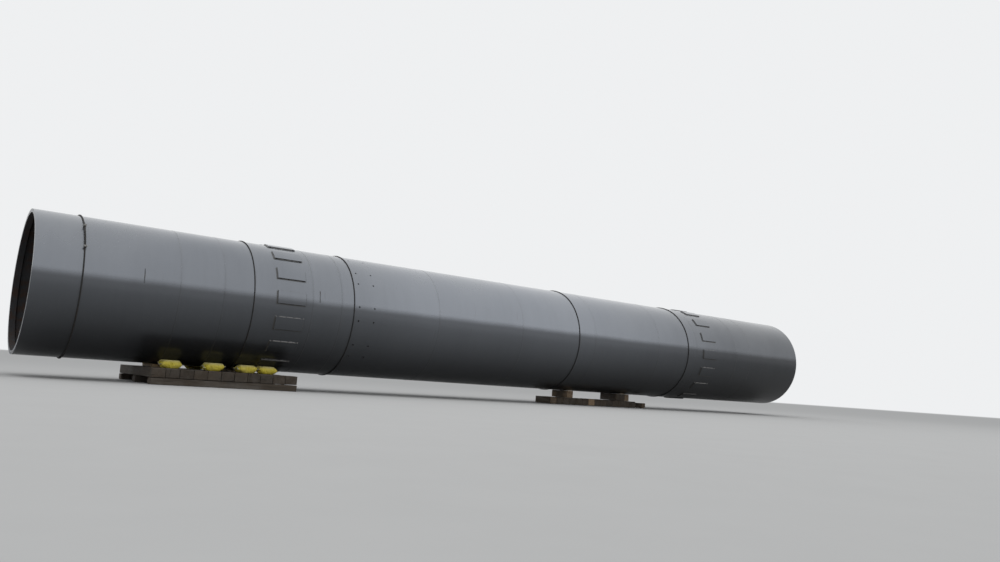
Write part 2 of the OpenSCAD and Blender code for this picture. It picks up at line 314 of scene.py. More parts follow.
class Finish:
    """A procedural material or world: what varies over it is written as sums of values."""

    def __init__(self, name, shader="ShaderNodeBsdfPrincipled", world=False):
        self.made = bpy.data.worlds.new(name) if world else bpy.data.materials.new(name)
        self.made.use_nodes = True
        self.tree = self.made.node_tree
        self.tree.nodes.clear()
        self.shader = self.tree.nodes.new(shader)
        output = self.tree.nodes.new("ShaderNodeOutputWorld" if world else "ShaderNodeOutputMaterial")
        self.tree.links.new(self.shader.outputs[0], output.inputs["Surface"])

    def put(self, socket, value):
        """Links a value to a socket, or sets a constant on it."""
        if isinstance(value, Value):
            self.tree.links.new(value.socket, socket)
        elif hasattr(socket.default_value, "__len__") and len(socket.default_value) == 4:
            socket.default_value = (*tuple(value)[:3], 1)
        else:
            socket.default_value = value

    def node(self, kind, settings, inputs, output=0):
        """A node of a kind, with its settings, the values or links of its inputs, and one output."""
        made = self.tree.nodes.new(kind)
        for key, value in settings.items():
            setattr(made, key, value)
        pairs = inputs.items() if isinstance(inputs, dict) else enumerate(inputs)
        for key, value in pairs:
            self.put(made.inputs[key], value)
        return Value(self, made.outputs[output])

    def set(self, **values):
        """Sets the shader's own sockets, named with underscores for spaces, and gives the material."""
        for key, value in values.items():
            self.put(self.shader.inputs[key.replace("_", " ")], value)
        return self.made

    def blend(self, share, first, second):
        """Shows the first shader, or the second where the share is 1."""
        for key, value in enumerate((share, first, second)):
            self.put(self.shader.inputs[key], value)
        return self.made

    def place(self, scale=(1, 1, 1), move=(0, 0, 0)):
        """Object coordinates, stretched and moved."""
        at = self.node("ShaderNodeTexCoord", {}, {}, "Object")
        return self.node("ShaderNodeMapping", {}, {"Vector": at, "Scale": scale, "Location": move})

    def split(self, vector):
        """The three parts of a vector."""
        x = self.node("ShaderNodeSeparateXYZ", {}, [vector], "X")
        return x, x.other("Y"), x.other("Z")

    def merge(self, x, y, z):
        """A vector from its three parts."""
        return self.node("ShaderNodeCombineXYZ", {}, [x, y, z])

    def attribute(self, name, output="Vector"):
        """What a piece's mesh stores under a name."""
        return self.node("ShaderNodeAttribute", {"attribute_name": name}, {}, output)

    def noise(self, vector, scale, detail=3, roughness=0.55):
        """Soft noise from about 0.2 to 0.8."""
        return self.node("ShaderNodeTexNoise", {}, {"Vector": vector, "Scale": scale, "Detail": detail,
                                                    "Roughness": roughness}, "Fac")

    def mix(self, share, first, second):
        """The first colour, or the second where share is 1."""
        settings = {"data_type": "RGBA", "clamp_factor": True}
        return self.node("ShaderNodeMix", settings, {0: share, 6: first, 7: second}, 2)

    def scaled(self, colour, share):
        """A colour times a number."""
        return self.node("ShaderNodeVectorMath", {"operation": "SCALE"}, {0: colour, "Scale": share})

    def bump(self, height, distance, normal=None):
        """A normal from a height that runs from 0 to 1 over a distance in metres."""
        inputs = {"Height": height, "Distance": distance}
        if normal is not None:
            inputs["Normal"] = normal
        return self.node("ShaderNodeBump", {}, inputs)

    def seen(self):
        """1 for rays that show the background, from the eye or in gloss and glass."""
        path = self.node("ShaderNodeLightPath", {}, {}, "Is Camera Ray")
        return (path + path.other("Is Glossy Ray") + path.other("Is Transmission Ray")).held()


def course_tones_and_painted_reflection(x):
    """A small change of tone from each course's plates to the next one's, and a broad painted reflection
    along the kiln, which is palest left of its middle and darkest at its right end."""
    changes = [(x > seam) * change for seam, change in zip(SEAMS, TONE_CHANGES)]
    changes += [x.step(start, end) * change for start, end, change in PAINTED_REFLECTION_TONES]
    return sum(changes)


def near_any(x, places, half_width):
    """1 near any of the places along the kiln, and 0 elsewhere."""
    return sum(1 - abs(x - place).step(half_width * 0.4, half_width) for place in places)


def painted_pad_shadow(x, y, turn):
    """1 in the painted shadow line along each tyre pad's ends and its lower edge, weaker at its right end,
    and 0 elsewhere.
    """
    from_front = math.pi - turn
    front = (y < 0) * 2 - 1
    lines = []
    for name, start in PAD_TURNS.items():
        centre, size = extent(name)
        past_end = abs(x - centre.x) - size.x / 2
        share = (from_front - start) * (PAD_COUNT / TAU) + 0.5
        from_middle = (share.maths("FRACT") - 0.5) * (TAU / PAD_COUNT * SHELL_R) * front
        past = past_end.maths("MAXIMUM", abs(from_middle) - PAD_WIDTH / 2)
        line = (1 - past.step(0.018, 0.036)) * (1 - from_middle.step(PAD_WIDTH * 0.40, PAD_WIDTH * 0.52))
        lines.append(line * (1 - (x > centre.x + size.x / 2) * 0.7))
    return sum(lines)


class PaintFinish(Finish):
    """Semi-gloss grey paint, laid on in layers."""

    def __init__(self, name):
        super().__init__(name)
        self.paint = bpy.context.scene.kiln_paint
        self.here = self.place()
        self.x, self.y, self.z = self.split(self.place(move=(0, 0, -AXIS_Z)))
        self.turn = self.z.maths("ARCTAN2", self.y)
        self.radius = (self.y * self.y + self.z * self.z) ** 0.5
        self.arc = self.turn * SHELL_R
        self.height = self.z / SHELL_R
        self.clouds = self.noise(self.here, 0.55, 4)
        self.specks = self.noise(self.here, 46, 2, 0.5)

    def cover(self, share, colour):
        """Lays a colour over those so far, by its share."""
        self.colour = self.mix(share, self.colour, colour)

    def lay_paint(self, pad_shadows):
        """Paint with dust above, painted shade over the lower half and more at its belly, runs, soot along
        the seams, chips, and painted shadow along the pads' ends and lower edges.
        """
        paint, x, height, clouds, specks = self.paint, self.x, self.height, self.clouds, self.specks
        passes = self.noise(self.merge(x, self.arc * 0.12, self.radius), 2.6, 4, 0.6)
        streaks = self.noise(self.merge(x * 9, self.arc * 0.9, self.radius), 1.4, 5, 0.6)
        # Painted shade: the paint is darkened below a soft line just above the middle, and more towards
        # the bottom, for the dark reflections there. The first mask also lowers the coat and the metal
        # flake, and roughens the paint.
        under = 1 - (height + (clouds - 0.5) * 0.05).step(0.04, 0.17)
        painted_belly_shade = (1 - height.step(-0.95, 0.0)) * (0.62 + x.step(-4, 6) * 0.14)
        tone = 0.95 + (clouds - 0.5) * 0.24 + (passes - 0.5) * 0.13 + (streaks - 0.5) * 0.09
        tone = (tone + course_tones_and_painted_reflection(x)) * (1 - under * 0.58) * (1 - painted_belly_shade)
        self.colour = self.scaled(paint.grey, tone)
        upward = height.step(-0.15, 0.95)
        dust = (upward * (0.10 + (clouds - 0.45) * 0.5) + (specks - 0.66).held() * 0.4).held()
        self.cover(dust, paint.dust)
        runs = streaks.step(0.60, 0.74) * (1 - upward * 0.6) * passes.step(0.45, 0.62) * 0.28
        self.cover(runs, paint.grime)
        beside = near_any(x, SEAMS, 0.05) * (specks - 0.45) * 0.35
        soot = (beside + near_any(x, SEAMS, 0.016) * clouds * 0.28).held()
        self.cover(soot, paint.grime)
        chips = specks.step(0.765, 0.785) * clouds.step(0.52, 0.62)
        self.cover(chips * 0.4, paint.bare)
        self.coat = 0.5 * (1 - under * (0.7 + x.step(-4, 6) * 0.2))
        self.roughness = paint.gloss + (clouds - 0.5) * 0.10 + (passes - 0.5) * 0.08
        self.roughness = self.roughness + dust * 0.45 + soot * 0.3 + under * 0.14
        self.metallic = paint.flake * (1 - dust * 0.8) * (1 - runs) * (1 - under * 0.35)
        if pad_shadows:
            # Painted shadow in the grime colour along the pads' ends and lower edges.
            pad_shadow = (painted_pad_shadow(x, self.y, self.turn) * (0.8 + (specks - 0.5) * 0.8)).held()
            self.cover(pad_shadow, paint.grime)
            self.metallic = self.metallic * (1 - pad_shadow)

    def shade_edges(self, flat, steep):
        """Painted shade in the grime colour on edges that face down or along, most on those that face
        left, and a painted highlight in bare steel on those that face up. An edge is where the surface
        turns from facing straight out, past a flat share, to a steep one."""
        facing = self.node("ShaderNodeNewGeometry", {}, {}, "Normal")
        self.along, across, up = self.split(facing)
        outward = (self.y * across + self.z * up) / self.radius
        edge = 1 - abs(outward).step(steep, flat)
        # Painted highlight on edges that face up, and painted shade on those that face down or sideways,
        # most on the left-facing ones.
        rises = (up - outward * self.height).step(0.10, 0.60) * edge
        falls = (outward * self.height - up).step(0.05, 0.50) * edge
        sideways = abs(self.along).step(0.25, 0.60) - self.along.step(0.25, 0.60) * 0.7
        painted_edge_shade = (falls + sideways * edge).held()
        self.cover(painted_edge_shade * 0.85, self.paint.grime)
        self.cover(rises * (1 - painted_edge_shade) * (0.30 + self.specks * 0.5), self.paint.bare)
        self.roughness = self.roughness + painted_edge_shade * 0.3
        self.metallic = self.metallic * (1 - painted_edge_shade * 0.8)

    def bare_inside(self):
        """Rusty rolled steel inside the shell, and worn paint with the ring's joint on its end faces."""
        paint = self.paint
        within = 1 - self.radius.step(SHELL_R - 0.010, SHELL_R - 0.004)
        rim = abs(self.along).step(0.6, 0.9) * abs(self.x).step(HALF_L - 0.004, HALF_L - 0.001)
        flakes = self.noise(self.here, 5.5, 6, 0.65)
        pits = self.noise(self.here, 38, 4, 0.6)
        low = 1 - self.height.step(-0.98, -0.55)
        rusty = (flakes + low * 0.12 + (pits - 0.5) * 0.25).step(0.42, 0.68)
        steel = self.mix(rusty * 0.8, paint.scale, paint.rust)
        steel = self.mix(low * 0.35, steel, self.scaled(paint.dust, 0.35))
        worn = (pits + (flakes - 0.5) * 0.6).step(0.46, 0.62)
        ground = self.mix(worn * 0.55, self.scaled(paint.grey, 0.85), paint.bare)
        joint = 1 - abs(self.radius - RING_JOINT_R).step(0.0008, 0.0030)
        ground = self.mix(joint * 0.8, ground, paint.grime)
        self.cover(within, steel)
        self.cover(rim, ground)
        unpainted = within * (1 - rim)
        self.roughness = self.roughness + unpainted * (0.50 + rusty * 0.2) + rim * 0.12
        self.metallic = self.metallic * (1 - unpainted)
        self.coat = self.coat * (1 - unpainted)

    def finished(self, ripple):
        """The material, its surface waved like rolled plate, and rippled round or along a weld bead."""
        waves = self.noise(self.place((0.8, 1.3, 1.3)), 0.9, 2, 0.4)
        normal = self.bump(waves, self.paint.wave_height)
        normal = self.bump(self.noise(self.here, 260, 2, 0.5), 0.00006, normal)
        if ripple:
            way = self.arc if ripple == "round" else self.x
            normal = self.bump(way.ridges(RIPPLE_PITCH, self.specks * 3), 0.0008, normal)
        return self.set(Base_Color=self.colour, Roughness=self.roughness.held(), Normal=normal,
                        Metallic=self.metallic.held(), Coat_Weight=self.coat, Coat_Roughness=0.12)


def paint_finish(name, inside=True, ripple=None):
    """Grey paint of the shell and its rings, of the pads, which have no inside, or of weld beads,
    whose ripples follow each other round the kiln or along it."""
    finish = PaintFinish(name)
    finish.lay_paint(pad_shadows=inside)
    finish.shade_edges(flat=0.95 if ripple else 0.6, steep=0.55 if ripple else 0.25)
    if inside:
        finish.bare_inside()
    return finish.finished(ripple)


def scar_finish():
    """Burnt paint and bare brown steel where a lug was cut off, with patches of paint over it."""
    paint = bpy.context.scene.kiln_paint
    finish = Finish("burnt_scar")
    here = finish.place()
    burn = finish.noise(here, 22, 4)
    pits = finish.noise(here, 160, 3)
    colour = finish.mix(burn.step(0.45, 0.62), paint.grime, paint.rust)
    colour = finish.mix(pits.step(0.62, 0.72) * 0.6, colour, paint.bare)
    painted = finish.noise(here, 9, 2).step(0.40, 0.56)
    colour = finish.mix(painted * 0.75, colour, finish.scaled(paint.grey, 0.75))
    return finish.set(Base_Color=colour, Roughness=0.55 + burn * 0.3, Metallic=0.3,
                      Normal=finish.bump(pits, 0.0012))


def wire_finish():
    """Dark greased wire, a little brown, with dusty hollows."""
    paint = bpy.context.scene.kiln_paint
    finish = Finish("greased_wire")
    blotch = finish.noise(finish.place(), 9.0, 3)
    grains = finish.noise(finish.place(), 420.0, 2)
    colour = finish.mix(blotch.step(0.45, 0.70) * 0.35, bpy.context.scene.kiln_ropes.wire, paint.rust)
    colour = finish.mix(grains.step(0.55, 0.75) * 0.25, colour, paint.dust)
    return finish.set(Base_Color=colour, Roughness=0.42 + blotch * 0.25, Metallic=0.55,
                      Normal=finish.bump(grains, 0.0006))


def clip_finish():
    """Dull galvanized iron."""
    paint = bpy.context.scene.kiln_paint
    finish = Finish("galvanized_iron")
    spangle = finish.noise(finish.place(), 90.0, 3)
    stain = finish.noise(finish.place(), 14.0, 4)
    colour = finish.mix(stain.step(0.52, 0.72) * 0.6, bpy.context.scene.kiln_ropes.clip, paint.rust)
    colour = finish.mix(spangle.step(0.5, 0.8) * 0.3, colour, paint.grime)
    return finish.set(Base_Color=colour, Roughness=0.45 + spangle * 0.2, Metallic=0.7,
                      Normal=finish.bump(spangle, 0.0004))


def timber_finish(name, fresh):
    """Sawn wood with grain along each timber, rings and splits at its ends, and dirt."""
    wood = bpy.context.scene.kiln_timber
    grimy = bpy.context.scene.kiln_paint.grime
    finish = Finish(name)
    u, v, w = finish.split(finish.attribute("grain_at"))
    tone = finish.attribute("tone", "Fac")
    ends = finish.attribute("end_grain", "Fac")

    def streaky(along, across, detail, roughness=0.55):
        return finish.noise(finish.merge(u * along, v * across, w * across), 1.0, detail, roughness)

    fibres = streaky(0.9, 26.0, 6, 0.65)
    hairs = streaky(5.0, 240.0, 3, 0.6)
    warp = streaky(0.8, 3.0, 3)
    weather = streaky(1.6, 7.0, 4)
    distance = (v * v + w * w) ** 0.5
    rings = distance.ridges(RING_PITCH, warp * 9.0)
    saw = u.ridges(SAW_PITCH, warp * 3.0)
    turn = w.maths("ARCTAN2", v)
    splits = finish.noise(finish.merge(turn * 6.0, tone * 7.0, distance * 2.0), 1.0, 2)
    split = splits.step(0.66, 0.70) * ends * 0.8
    body = wood.new if fresh else wood.old
    late = finish.scaled(body, 0.55)
    grain = (fibres.step(0.35, 0.70) * 0.6 + rings * 0.4) * (1 - ends * 0.25)
    colour = finish.mix(grain, late, finish.scaled(body, 1.25))
    grey = weather.step(0.42, 0.68) * (0.35 if fresh else 0.5) * (1 - ends * 0.5)
    colour = finish.mix(grey, colour, wood.grey)
    grime = finish.noise(finish.place(), 3.2, 5, 0.6)
    colour = finish.mix(grime.step(0.50, 0.72) * (0.30 if fresh else 0.75), colour, grimy)
    sawn = finish.mix(grain, wood.sawn_dark, wood.sawn_light)
    colour = finish.mix(tone * (ends * 0.75 + 0.12), colour, sawn)
    colour = finish.mix(ends * (1 - tone) * 0.35, colour, late)
    # Painted shade inside the splits, which have only a shallow bump.
    colour = finish.mix(split, colour, wood.split)
    height = hairs * 0.25 + fibres * 0.35 + saw * 0.15 + rings * 0.15 - split
    roughness = (0.74 + grain * 0.12 - grime.step(0.5, 0.8) * 0.18).held()
    return finish.set(Base_Color=colour, Roughness=roughness, Specular_IOR_Level=0.35,
                      Normal=finish.bump(height, 0.0035))


def cloth_finish(name="woven_tape_cloth", hem=False):
    """Yellow cloth woven from flat plastic tape, with dust in its folds and a painted highlight, in the
    dust colour, over its top, or its pale folded hems.
    """
    bags = bpy.context.scene.kiln_bags
    finish = Finish(name)
    here = finish.place()
    a, b, c = finish.split(finish.attribute("cloth_at"))
    odd_a = (a / (2 * TAPE_WIDTH)).maths("FRACT") > 0.5
    odd_b = (b / (2 * TAPE_WIDTH)).maths("FRACT") > 0.5
    over = abs(odd_a - odd_b)
    weave = a.ridges(TAPE_WIDTH) * over + b.ridges(TAPE_WIDTH) * (1 - over)
    cloud = finish.noise(here, 5.5, 4)
    speck = finish.noise(here, 60, 3)
    tapes = finish.noise(finish.merge(a * 4, b * 220, c), 1, 2)
    shade = 0.84 + weave * 0.14 + (tapes - 0.5) * 0.22 + (cloud - 0.5) * 0.16
    colour = finish.scaled(bags.hem if hem else bags.cloth, shade)
    # Painted highlight: the dust colour is laid over the bag's top by its height above the middle.
    high = (c / 0.07).step(0.2, 1.0)
    dust = (cloud.step(0.42, 0.72) * 0.20 + speck.step(0.58, 0.78) * 0.15 + high * 0.55).held()
    colour = finish.mix(dust, colour, bags.dust)
    creases = finish.noise(finish.merge(a * 10, b * 16, c * 14), 1, 4, 0.6)
    gathers = finish.noise(finish.merge(a * 5, b * 75, c * 20), 1, 2)
    folds = creases + gathers * (abs(a) / 0.18).step(0.35, 1.0) * 1.4
    normal = finish.bump(weave, 0.0007, finish.bump(folds, 0.006))
    roughness = (0.40 + dust * 0.5 + (1 - weave) * 0.08).held()
    return finish.set(Base_Color=colour, Roughness=roughness, Normal=normal, Sheen_Weight=0.12,
                      Sheen_Roughness=0.4)


def thread_finish():
    """Pale twisted thread."""
    bags = bpy.context.scene.kiln_bags
    finish = Finish("hem_thread")
    fuzz = finish.noise(finish.place(), 500.0, 2)
    colour = finish.mix(fuzz * 0.6, bags.thread, bags.dust)
    return finish.set(Base_Color=colour, Roughness=0.8, Normal=finish.bump(fuzz, 0.0005))


def pick(*objects):
    """Selects these objects alone, the first one active."""
    bpy.ops.object.select_all(action="DESELECT")
    for obj in objects:
        obj.select_set(True)
    bpy.context.view_layer.objects.active = objects[0]


@contextmanager
def editing(obj, test=None):
    """Opens a mesh with all its vertices selected, or those whose place passes a test."""
    pick(obj)
    bpy.ops.object.mode_set(mode="EDIT")
    bpy.ops.mesh.select_mode(type="VERT")
    bpy.ops.mesh.select_all(action="SELECT" if test is None else "DESELECT")
    if test is not None:
        bpy.ops.object.mode_set(mode="OBJECT")
        for vertex in obj.data.vertices:
            vertex.select = test(vertex.co)
        bpy.ops.object.mode_set(mode="EDIT")
    yield
    bpy.ops.object.mode_set(mode="OBJECT")


def stretch(factors, centre=(0, 0, 0)):
    """Stretches the selected vertices from a centre."""
    bpy.ops.transform.resize(value=factors, center_override=centre)


def roughen(distance, seed):
    """Moves the selected vertices about at random."""
    bpy.ops.transform.vertex_random(offset=distance, uniform=1, normal=0, seed=seed)


def cut(obj, place, normal):
    """Cuts a mesh's faces along a plane and leaves it whole."""
    with editing(obj):
        bpy.ops.mesh.bisect(plane_co=place, plane_no=normal)


def settle(obj):
    """Moves an object's place, turn and scale into its mesh."""
    pick(obj)
    bpy.ops.object.transform_apply(location=True, rotation=True, scale=True)
    return obj


def primitive(add, **settings):
    """A mesh from one of Blender's own operators, with its place and turn moved into it."""
    bpy.ops.object.select_all(action="DESELECT")
    add(**settings)
    return settle(bpy.context.object)


def modify(obj, kind, **settings):
    """Adds a modifier and applies it."""
    pick(obj)
    modifier = obj.modifiers.new(kind.lower(), kind)
    for key, value in settings.items():
        setattr(modifier, key, value)
    bpy.ops.object.modifier_apply(modifier=modifier.name)


def copy_of(obj):
    """A copy of an object with a mesh of its own."""
    made = obj.copy()
    made.data = obj.data.copy()
    bpy.context.scene.collection.objects.link(made)
    return made


def joined(objects, name):
    """One object from several, under a name."""
    pick(*objects)
    if len(objects) > 1:
        bpy.ops.object.join()
    made = bpy.context.object
    made.name = name
    made.data.name = name
    return made


def smooth(obj, degrees=40):
    """Smooth shading, with edges sharper than an angle left crisp."""
    pick(obj)
    bpy.ops.object.shade_smooth_by_angle(angle=math.radians(degrees), keep_sharp_edges=True)


def store(mesh, name, values):
    """Stores a number or a vector for each of a mesh's vertices, under a name."""
    values = np.array(values, dtype=np.float32)
    kind, key = ("FLOAT_VECTOR", "vector") if values.ndim == 2 else ("FLOAT", "value")
    mesh.attributes.new(name, kind, "POINT").data.foreach_set(key, values.ravel())


def dress(objects, name, material, node=None):
    """One piece from several objects, seated on the kiln, with its material. It may take
    the place of a node."""
    piece = joined(objects, name)
    piece.data.materials.clear()
    piece.data.materials.append(material)
    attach(piece, "root")
    if node:
        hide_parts(node)
    return piece


def bead_ring(x, radius, width, height, seed):
    """A weld bead right round the kiln, half sunk into the plate."""
    ring = primitive(bpy.ops.mesh.primitive_torus_add, location=(x, 0, AXIS_Z),
                     rotation=(0, math.pi / 2, 0), major_segments=ROUND_STEPS, minor_segments=BEAD_SIDES,
                     major_radius=radius, minor_radius=height)
    with editing(ring):
        stretch((width / 2 / height, 1, 1), (x, 0, AXIS_Z))
        roughen(height * 0.2, seed)
    return ring


def flat_bead(length, width, height, steps, seed):
    """A straight weld bead along X, its middle at the origin, crowned and rounded at its ends."""
    bead = primitive(bpy.ops.mesh.primitive_circle_add, vertices=BEAD_SIDES, radius=height,
                     rotation=(0, math.pi / 2, 0), location=(-length / 2, 0, 0))
    modify(bead, "SCREW", axis="X", angle=0, screw_offset=length, steps=steps, render_steps=steps)
    with editing(bead):
        bpy.ops.mesh.fill_holes(sides=BEAD_SIDES)
        bpy.ops.mesh.normals_make_consistent(inside=False)
        stretch((1, width / 2 / height, 1))
        roughen(height * 0.2, seed)
    with editing(bead, lambda co: abs(co.x) > length / 2 - height):
        stretch((1, 0.5, 0.4))
    return bead


def wrapped(obj, x, radius, angle):
    """Wraps a flat piece round the kiln: X stays along it, Y runs up the arc and Z points outward."""
    for vertex in obj.data.vertices:
        turn = vertex.co.y / radius + angle
        from_axis = radius + vertex.co.z
        vertex.co = (vertex.co.x + x, -from_axis * math.cos(turn), AXIS_Z + from_axis * math.sin(turn))
    return obj


def pad_fillet(length, width, welds, seed):
    """The weld round a pad, flat and with its middle at the origin: a low block with sloping sides,
    whole at the pad's ends and in stitches along its long edges."""
    leg = welds.fillet_leg
    gap = welds.stitch_gap
    block = primitive(bpy.ops.mesh.primitive_cube_add, size=1, location=(0, 0, -FILLET_DEPTH / 2),
                      scale=(length + 2 * leg, width + 2 * leg, FILLET_DEPTH))
    with editing(block, lambda co: co.z > -FILLET_DEPTH / 2):
        bpy.ops.mesh.select_mode(type="FACE")
        bpy.ops.mesh.inset(thickness=leg)
        bpy.ops.transform.translate(value=(0, 0, leg))
    pitch = welds.stitch + gap
    count = int(length / pitch)
    start = -(count * pitch - gap) / 2
    marks = [-gap * 0.3, 0, welds.stitch / 3, welds.stitch * 2 / 3, welds.stitch, welds.stitch + gap * 0.3]
    cuts = [start + i * pitch + mark for i in range(count) for mark in marks]
    cuts += [side * (length / 2 - back) for side in (-1, 1) for back in (0.012, 0.030)]
    for x in cuts:
        cut(block, (x, 0, 0), (1, 0, 0))
    for sixth in range(1, 6):
        cut(block, (0, width * (sixth / 6 - 0.5), 0), (0, 1, 0))
    with editing(block):
        roughen(leg * 0.12, seed)
    for vertex in block.data.vertices:
        place = (vertex.co.x - start + gap / 2) % pitch
        in_gap = place < gap * 0.45 or abs(vertex.co.x) > -start + gap * 0.2
        at_end = abs(vertex.co.x) > length / 2 - 0.02
        if in_gap and not at_end and abs(vertex.co.y) > width / 2 - leg / 2 and vertex.co.z > -leg / 4:
            vertex.co.y = math.copysign(width / 2 - leg / 2, vertex.co.y)
            vertex.co.z = 0
    return block


def laid_rope(rope_d, radius, ropes):
    """A wire rope of laid strands, made straight along X from the origin and bent into a ring. Its
    last stretch rises on the first one over one lay."""
    whole = TAU * radius
    length = whole + ropes.tail
    lay = ropes.lay * rope_d
    turns = round(length / lay)
    rope = primitive(bpy.ops.mesh.primitive_circle_add, vertices=STRAND_SIDES, radius=rope_d / 6,
                     rotation=(0, math.pi / 2, 0))
    with editing(rope):
        bpy.ops.transform.translate(value=(0, 0, rope_d / 3))
    modify(rope, "SCREW", axis="X", angle=TAU, screw_offset=length / turns, steps=STRAND_STEPS,
           render_steps=STRAND_STEPS, iterations=turns, use_smooth_shade=True)
    with editing(rope):
        for _ in range(STRANDS - 1):
            bpy.ops.mesh.duplicate()
            bpy.ops.transform.rotate(value=TAU / STRANDS, orient_axis="X", center_override=(0, 0, 0))
        bpy.ops.mesh.select_all(action="SELECT")
        bpy.ops.mesh.fill_holes(sides=STRAND_SIDES)
        bpy.ops.mesh.normals_make_consistent(inside=False)
    for vertex in rope.data.vertices:
        share = min(max((vertex.co.x - whole + lay) / lay, 0), 1)
        vertex.co.y -= rope_d * 1.01 * share * share * (3 - 2 * share)
    modify(rope, "SIMPLE_DEFORM", deform_method="BEND", deform_axis="Z", angle=length / radius)
    return rope


def quarter(axis):
    """A quarter turn about an axis."""
    return Matrix.Rotation(math.pi / 2, 4, axis)


def hang_on(obj, x, degrees, at_front):
    """Brings a piece to the kiln's front by a matrix, and then up round the kiln by an angle."""
    lift = Matrix.Rotation(-math.radians(degrees), 4, "X")
    obj.matrix_world = Matrix.Translation((x, 0, AXIS_Z)) @ lift @ at_front
    return settle(obj)


def rope_clip(rope_d):
    """A forged saddle with a U bolt over two ropes, and its two nuts. Its ropes run along X, one on
    the other, with the lower one's middle at the origin."""
    bolt_r = rope_d * 0.22
    leg_y = rope_d / 2 + bolt_r * 1.1
    top = rope_d * 2.55
    saddle_z = rope_d * 1.66
    parts = []
    for y in (-leg_y, leg_y):
        parts.append(primitive(bpy.ops.mesh.primitive_cylinder_add, vertices=12, radius=bolt_r,
                               depth=top + rope_d * 0.25, location=(0, y, top / 2 - rope_d * 0.35)))
        nut = primitive(bpy.ops.mesh.primitive_cylinder_add, vertices=6, radius=bolt_r * 2.0,
                        depth=bolt_r * 1.6, location=(0, y, rope_d * 2.12))
        modify(nut, "BEVEL", width=bolt_r * 0.2, segments=1)
        parts.append(nut)
    saddle = primitive(bpy.ops.mesh.primitive_cube_add, size=1, location=(0, 0, saddle_z),
                       scale=(rope_d * 1.5, leg_y * 2 + bolt_r * 3.6, rope_d * 0.62))
    with editing(saddle, lambda co: co.z > saddle_z):
        stretch((0.72, 0.9, 1))
    modify(saddle, "BEVEL", width=rope_d * 0.12, segments=3)
    parts.append(saddle)
    clip = joined(parts, "clip")
    smooth(clip, 35)
    return clip


def worn_timbers(node, axis, seed):
    """Worn timbers in place of a node's solids, each with its grain stored on its mesh."""
    draw = random.Random(seed)
    whole = copy_of(frame["nodes"][node])
    whole.modifiers.clear()
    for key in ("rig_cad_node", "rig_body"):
        del whole[key]
    whole.parent = None
    with editing(whole):
        bpy.ops.mesh.remove_doubles(threshold=0.0001)
        bpy.ops.mesh.dissolve_limited(angle_limit=math.radians(1))
        bpy.ops.mesh.separate(type="LOOSE")
    timbers = sorted(bpy.context.selected_objects, key=lambda o: tuple(o.data.vertices[0].co))
    for number, timber in enumerate(timbers):
        shape_timber(timber, axis, draw, PALE_ENDS.get((node, number)))
    return timbers


def shape_timber(timber, axis, draw, pale):
    """Cuts one timber into short lengths, lets its faces wander and wears its edges."""
    wood = bpy.context.scene.kiln_timber
    points = np.array([v.co for v in timber.data.vertices])
    low, high = points.min(0), points.max(0)
    size = high - low
    cuts = max(2, int(size[axis] / TIMBER_STEP))
    for i in range(1, cuts):
        cut(timber, tuple(low + size * i / cuts), (1 - axis, axis, 0))
    factors = (size - 2.4 * wood.wander) / size
    factors[axis] = 1
    with editing(timber):
        stretch(tuple(factors), tuple((low + high) / 2))
        roughen(wood.wander, draw.randrange(1, 9999))
    modify(timber, "BEVEL", width=wood.edge * draw.uniform(0.7, 1.5), segments=2, limit_method="ANGLE",
           angle_limit=math.radians(25))
    store_grain(timber.data, axis, low, high, draw, pale)


def store_grain(mesh, axis, low, high, draw, pale):
    """Stores each point's place along the grain and across it from the pith, whether it is in an end's
    face, and how pale that end is."""
    side = 1 - axis
    size = high - low
    shift = draw.uniform(0, 40)
    pith_side = draw.uniform(-0.6, 0.6) * size[side]
    pith_up = draw.uniform(-0.9, 0.2) * size[2]
    plain = draw.uniform(0, 0.10)
    centre = (low + high) / 2
    points = np.array([v.co for v in mesh.vertices])
    along = points[:, axis]
    store(mesh, "grain_at", np.stack([along + shift, points[:, side] - centre[side] - pith_side,
                                      points[:, 2] - centre[2] - pith_up], axis=1))
    from_end = np.minimum(along - low[axis], high[axis] - along)
    store(mesh, "end_grain", from_end < bpy.context.scene.kiln_timber.wander * 1.5)
    store(mesh, "tone", np.full(len(points), plain if pale is None else pale))


def sway(across, side, phase):
    """How far the sewn end of a bag rises and falls, from its place across the end from -1 to 1."""
    return 0.017 * math.sin(across * 3.4 + side * 1.3 + phase) - side * 0.010 * across ** 3


def bag_blank(centre, half, phase):
    """A cushion shape gathered at its two sewn ends, smaller than the full bag."""
    blank = primitive(bpy.ops.mesh.primitive_cube_add, size=2, location=(0, 0, 0))
    with editing(blank):
        bpy.ops.mesh.subdivide(number_cuts=19)
    for vertex in blank.data.vertices:
        x, y, z = vertex.co
        from_end = max(1 - abs(x) ** 3.2, 0)
        from_side = max(1 - abs(y) ** 4, 0)
        thick = 0.10 + 0.82 * from_end ** 0.8 * from_side ** 0.5
        thick *= 1 + 0.22 * math.sin(y * 14 + phase) * abs(x) ** 3
        narrow = 1 - 0.24 * abs(x) ** 4
        end_rise = sway(y, math.copysign(1, x), phase) * max(abs(x) - 0.45, 0) / 0.55
        vertex.co = (x * half.x * 0.92, y * half.y * 0.88 * narrow, z * half.z * thick + end_rise)
    blank.location = centre
    return settle(blank)


